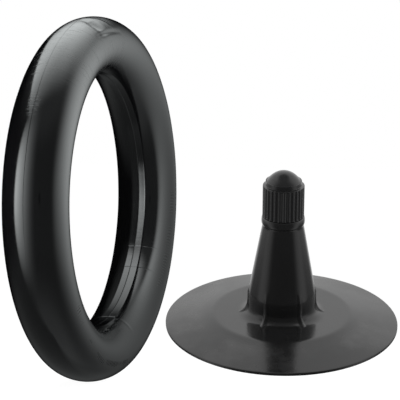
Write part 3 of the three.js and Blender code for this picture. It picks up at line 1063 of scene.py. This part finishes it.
def turned_brass():
    """Brass with the lathe's fine rings round the stem's axis."""
    material, nodes = new_material("turned_brass")
    height = nodes.split(nodes.place())[0]
    rings = nodes.noise(nodes.join(nodes.product(height, 9000.0), 0.0, 0.0), 1.0, 2.0)
    nodes.surface(
        Base_Color=BRASS_COLOR,
        Metallic=1.0,
        Roughness=nodes.total(BRASS_ROUGHNESS, nodes.product(rings, 0.14)),
        Normal=nodes.bump(nodes.product(rings, 0.000004)),
    )
    return material


# ---------------------------------------------------------------- the object

def cover(obj, material, body, slot, *nodes):
    """Shows obj in place of the CAD nodes, on the body that carries them."""
    obj.data.materials.append(material)
    show(obj)
    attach(obj, body)
    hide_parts(*nodes)
    return obj


BUTYL = butyl()
STEM_RUBBER = stem_rubber()
CAP_PLASTIC = plain("cap_plastic", CAP_COLOR, CAP_ROUGHNESS, 0.000004)
SEAL_RUBBER = plain("seal_rubber", SEAL_COLOR, SEAL_ROUGHNESS, 0.00001)
GASKET = plain("gasket", GASKET_COLOR, GASKET_ROUGHNESS, 0.000005)
SPRING_STEEL = plain("spring_steel", SPRING_COLOR, SPRING_ROUGHNESS, 0.000002, metallic=1.0)
BRASS = turned_brass()

cover(tube_skin(), BUTYL, "tube", "butyl", "tube_body")
moulding = valve_moulding("valve_moulding", on_tube, DISC_UNDERSIDE)
cover(moulding, STEM_RUBBER, "tube", "stem_rubber", "valve_rubber_body")

coil = cover(spring(), SPRING_STEEL, "core", "spring_steel", "core_spring")
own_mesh(coil)

fine_pieces = [
    coil,
    cover(insert(), BRASS, "tube", "brass", "stem_insert"),
    cover(plug(), BRASS, "plug", "brass", "core_plug"),
    cover(barrel(), BRASS, "core", "brass", "core_barrel"),
    cover(gasket(), GASKET, "core", "gasket", "core_gasket"),
    cover(pin(), BRASS, "pin", "brass", "core_pin"),
    cover(seat_cup(), BRASS, "pin", "brass", "core_seat_cup"),
    cover(seat_washer(), SEAL_RUBBER, "pin", "seal_rubber", "core_seat_washer"),
    cover(cap(), CAP_PLASTIC, "cap", "cap_plastic", "cap_shell"),
    cover(cap_seal(), SEAL_RUBBER, "cap_seal", "seal_rubber", "cap_seal"),
]


# ---------------------------------------------------------------- the camera

def camera_matrix():
    """Looks at the ring's centre, then turns aside, up and over by the yaw, pitch and roll."""
    azimuth, elevation = math.radians(CAMERA_AZIMUTH), math.radians(CAMERA_ELEVATION)
    yaw, pitch, roll = (math.radians(angle) for angle in (CAMERA_YAW, CAMERA_PITCH, CAMERA_ROLL))
    back = Vector((math.sin(azimuth) * math.cos(elevation),
                   -math.cos(azimuth) * math.cos(elevation),
                   math.sin(elevation)))
    level = (-back).cross(Vector((0, 0, 1))).normalized()
    up = level.cross(-back)
    ahead = -back * math.cos(yaw) + level * math.sin(yaw)
    right = ahead.cross(up)
    ahead = ahead * math.cos(pitch) + up * math.sin(pitch)
    up = right.cross(ahead)
    right, up = (right * math.cos(roll) + up * math.sin(roll),
                 up * math.cos(roll) - right * math.sin(roll))
    turn = Matrix((right, up, -ahead)).transposed().to_4x4()
    return Matrix.Translation(back * CAMERA_DISTANCE) @ turn


def add_camera():
    data = bpy.data.cameras.new("camera")
    data.lens = CAMERA_LENS
    data.sensor_width = CAMERA_SENSOR
    camera = show(bpy.data.objects.new("camera", data))
    camera.matrix_world = camera_matrix()
    bpy.context.scene.camera = camera


# ---------------------------------------------------------------- the close-up

def close_up_place():
    """In front of the camera, with the stem upright but leaning towards it."""
    lean = math.radians(CLOSE_UP_LEAN)
    axis = Vector((0, math.cos(lean), math.sin(lean)))
    toward = Vector((0, -math.sin(lean), math.cos(lean)))
    turn = Matrix((axis, toward, axis.cross(toward))).transposed().to_4x4()
    shift = Matrix.Translation((CLOSE_UP_RIGHT, -CLOSE_UP_DOWN, -CLOSE_UP_DISTANCE))
    return camera_matrix() @ shift @ turn


def add_close_up(place):
    """The same valve, seen close up; it follows every pose."""
    group = bpy.data.collections.new("close_up")
    flat = valve_moulding("moulding_before_bonding", in_row_frame, 0.0)
    flat.data.materials.append(STEM_RUBBER)
    group.objects.link(flat)
    for piece in fine_pieces:
        group.objects.link(piece)
    holder = show(bpy.data.objects.new("close_up_holder", None))
    holder.instance_type = "COLLECTION"
    holder.instance_collection = group
    shorten = Matrix.Diagonal((CLOSE_UP_SHORTENING, 1, 1, 1))
    holder.matrix_world = place @ shorten @ Matrix.Translation((FOOT, 0, 0))


def stage_light(name, mesh, place):
    """Puts a glowing mesh in the studio, where only its light is seen."""
    light = show(bpy.data.objects.new(name, mesh))
    light.matrix_world = place
    light.visible_camera = False
    light.visible_shadow = False


def tent_glow(nodes):
    """Bright behind the valve, a strip at each side, a low patch far behind and a little above.

    up, toward and aside are shares of the tent's radius.
    """
    up, toward, side = nodes.split(nodes.scaled(nodes.place(), 1 / TENT_RADIUS))
    aside = nodes.size(side)
    behind = nodes.product(nodes.step(up, -0.3, 0.38), nodes.step(toward, -0.1, 0.35, 1.0, 0.0),
                           nodes.step(up, 0.9, 0.98, 1.0, 0.15), TENT_BEHIND_STRENGTH)
    strips = nodes.product(nodes.window(toward, 0.28, 0.36, 0.4), nodes.step(aside, 0.2, 0.6),
                           nodes.step(up, 0.3, 0.7, 1.0, 0.0), TENT_STRIP_STRENGTH)
    low = nodes.product(nodes.step(toward, -0.9, -0.6, 1.0, 0.0),
                        nodes.window(up, -0.45, -0.15, 0.25), TENT_LOW_STRENGTH)
    above = nodes.product(nodes.step(up, 0.5, 0.8), nodes.step(toward, -0.05, 0.2),
                          TENT_ABOVE_STRENGTH)
    return nodes.total(behind, strips, low, above, TENT_GROUND_STRENGTH)


def add_tent(place):
    """The close-up's own light: a glowing tent, and a dark shell that keeps out the studio's light."""
    glowing, nodes = new_material("tent_light")
    nodes.finish(nodes.emission(tent_glow(nodes)))
    dark, nodes = new_material("tent_outside")
    nodes.finish(nodes.emission(0.0))
    shells = (("tent", TENT_RADIUS, glowing), ("tent_back", TENT_RADIUS * 1.04, dark))
    for name, radius, material in shells:
        mesh = bpy.data.meshes.new(name)
        shape = bmesh.new()
        bmesh.ops.create_icosphere(shape, subdivisions=5, radius=radius)
        shape.to_mesh(mesh)
        shape.free()
        mesh.materials.append(material)
        stage_light(name, mesh, place)


# ---------------------------------------------------------------- the studio

def studio_glow(nodes):
    """The strength of the studio's light from each direction; azimuth runs from -Y towards +X."""
    x, y, z = nodes.split(nodes.add("ShaderNodeTexCoord").outputs["Generated"])
    azimuth = nodes.math("DEGREES", nodes.math("ARCTAN2", x, nodes.product(y, -1.0)))
    elevation = nodes.math("DEGREES", nodes.math("ARCSINE", z))
    in_front = nodes.window(azimuth, *FRONT_AZIMUTHS, 36.0)
    behind = nodes.step(in_front, 0.0, 1.0, 1.0, 0.0)
    above = nodes.product(nodes.step(elevation, 25.0, 50.0), ABOVE_STRENGTH)
    below = nodes.product(nodes.step(elevation, -75.0, -28.0, 1.0, 0.0), in_front, BELOW_STRENGTH)
    back = nodes.product(behind, nodes.step(elevation, -35.0, -10.0, 1.0, 0.0), BACK_STRENGTH)
    front = nodes.product(in_front, nodes.step(elevation, -60.0, -25.0), FRONT_STRENGTH)
    return nodes.total(above, below, back, front)


def add_world():
    """The studio's soft light, and plain white where the camera sees past the floor."""
    world = bpy.data.worlds.new("studio")
    bpy.context.scene.world = world
    world.use_nodes = True
    nodes = Nodes(world.node_tree)
    light = nodes.add("ShaderNodeBackground")
    light.inputs["Color"].default_value = STUDIO_TINT
    nodes.feed(light.inputs["Strength"], studio_glow(nodes))
    white = nodes.add("ShaderNodeBackground")
    white.inputs["Color"].default_value = WHITE
    choose = nodes.add("ShaderNodeMixShader")
    nodes.feed(choose.inputs[0], nodes.add("ShaderNodeLightPath").outputs["Is Camera Ray"])
    nodes.feed(choose.inputs[1], light.outputs[0])
    nodes.feed(choose.inputs[2], white.outputs[0])
    nodes.finish(choose, "ShaderNodeOutputWorld")


def add_sheet(name, corners, middle, turn, strength):
    """A flat sheet that only adds light; strength(nodes, x, y, z) is its pattern, in its own metres."""
    mesh = bpy.data.meshes.new(name)
    mesh.from_pydata(corners, [], [(0, 1, 2, 3)])
    material, nodes = new_material(name)
    glow = nodes.emission(strength(nodes, *nodes.split(nodes.place())), STUDIO_TINT)
    nodes.finish(nodes.both(glow, nodes.add("ShaderNodeBsdfTransparent")))
    mesh.materials.append(material)
    stage_light(name, mesh, Matrix.Translation(middle) @ Matrix.Rotation(turn, 4, "Z"))


def upright(reach, low, high):
    """The corners of an upright sheet, with x along it and z up it."""
    return [(-reach, 0, low), (reach, 0, low), (reach, 0, high), (-reach, 0, high)]


def add_side_light():
    """A small upright light close behind the tube's near side."""
    def strength(nodes, x, y, z):
        across = nodes.product(nodes.step(x, -0.13, 0.017), nodes.step(x, 0.03, 0.07, 1.0, 0.0))
        upward = nodes.spot(0.0, z, (0.0, 0.036), (1.0, 0.155))
        return nodes.product(across, upward, SIDE_LIGHT_STRENGTH)
    add_sheet("side_light", upright(0.14, -0.5, 0.55), SIDE_LIGHT_MIDDLE, SIDE_LIGHT_TURN, strength)


def add_inner_light():
    """A slim upright light in the ring's opening, for the far side's inner band."""
    def strength(nodes, x, y, z):
        slanted = nodes.total(x, nodes.product(z, -0.1))
        across = nodes.spot(slanted, 0.0, (0.084, 0.0), (0.013, 1.0))
        return nodes.product(across, nodes.window(z, -0.09, 0.15, 0.06), INNER_LIGHT_STRENGTH)
    add_sheet("inner_light", upright(0.14, -0.16, 0.22), INNER_LIGHT_MIDDLE, INNER_LIGHT_TURN, strength)


def add_wide_light():
    """A wide soft light beside the tube, as two spots."""
    def strength(nodes, x, y, z):
        near = nodes.spot(x, z, *WIDE_LIGHT_NEAR_SPOT)
        far = nodes.spot(x, z, *WIDE_LIGHT_FAR_SPOT)
        return nodes.total(nodes.product(near, WIDE_LIGHT_NEAR_STRENGTH),
                           nodes.product(far, WIDE_LIGHT_FAR_STRENGTH))
    add_sheet("wide_light", upright(1.3, -1.3, 1.6), WIDE_LIGHT_MIDDLE, WIDE_LIGHT_TURN, strength)


def add_overhead_light():
    """A softbox over the tube, fading towards the front."""
    def strength(nodes, x, y, z):
        across = nodes.product(nodes.step(x, -0.488, 0.124), nodes.step(x, -0.74, 0.91, 1.0, 0.0))
        slanted = nodes.total(y, nodes.product(x, 0.5))
        along = nodes.product(nodes.step(y, -0.386, 0.038), nodes.step(slanted, 0.43, 0.48, 1.0, 0.0))
        return nodes.product(across, along, OVERHEAD_LIGHT_STRENGTH)
    corners = [(-0.6, -0.5, 0), (1.0, -0.5, 0), (1.0, 0.6, 0), (-0.6, 0.6, 0)]
    add_sheet("overhead_light", corners, OVERHEAD_LIGHT_MIDDLE, OVERHEAD_LIGHT_TURN, strength)


def add_floor():
    """A plain pale floor just under the tube, bright enough to hide most of its shadow."""
    height = FLOOR_HEIGHT - FLOOR_GAP
    signs = ((-1, -1), (1, -1), (1, 1), (-1, 1))
    corners = [(x * FLOOR_REACH, y * FLOOR_REACH, height) for x, y in signs]
    mesh = bpy.data.meshes.new("floor")
    mesh.from_pydata(corners, [], [(0, 1, 2, 3)])
    material, nodes = new_material("pale_floor")
    diffuse = nodes.add("ShaderNodeBsdfDiffuse")
    diffuse.inputs["Color"].default_value = FLOOR_COLOR
    nodes.finish(nodes.both(diffuse, nodes.emission(FLOOR_GLOW)))
    mesh.materials.append(material)
    floor = show(bpy.data.objects.new("floor", mesh))
    floor.visible_glossy = False


add_camera()
add_close_up(close_up_place())
add_tent(close_up_place())
add_world()
add_overhead_light()
add_side_light()
add_inner_light()
add_wide_light()
add_floor()
bpy.context.scene.view_settings.view_transform = "Standard"
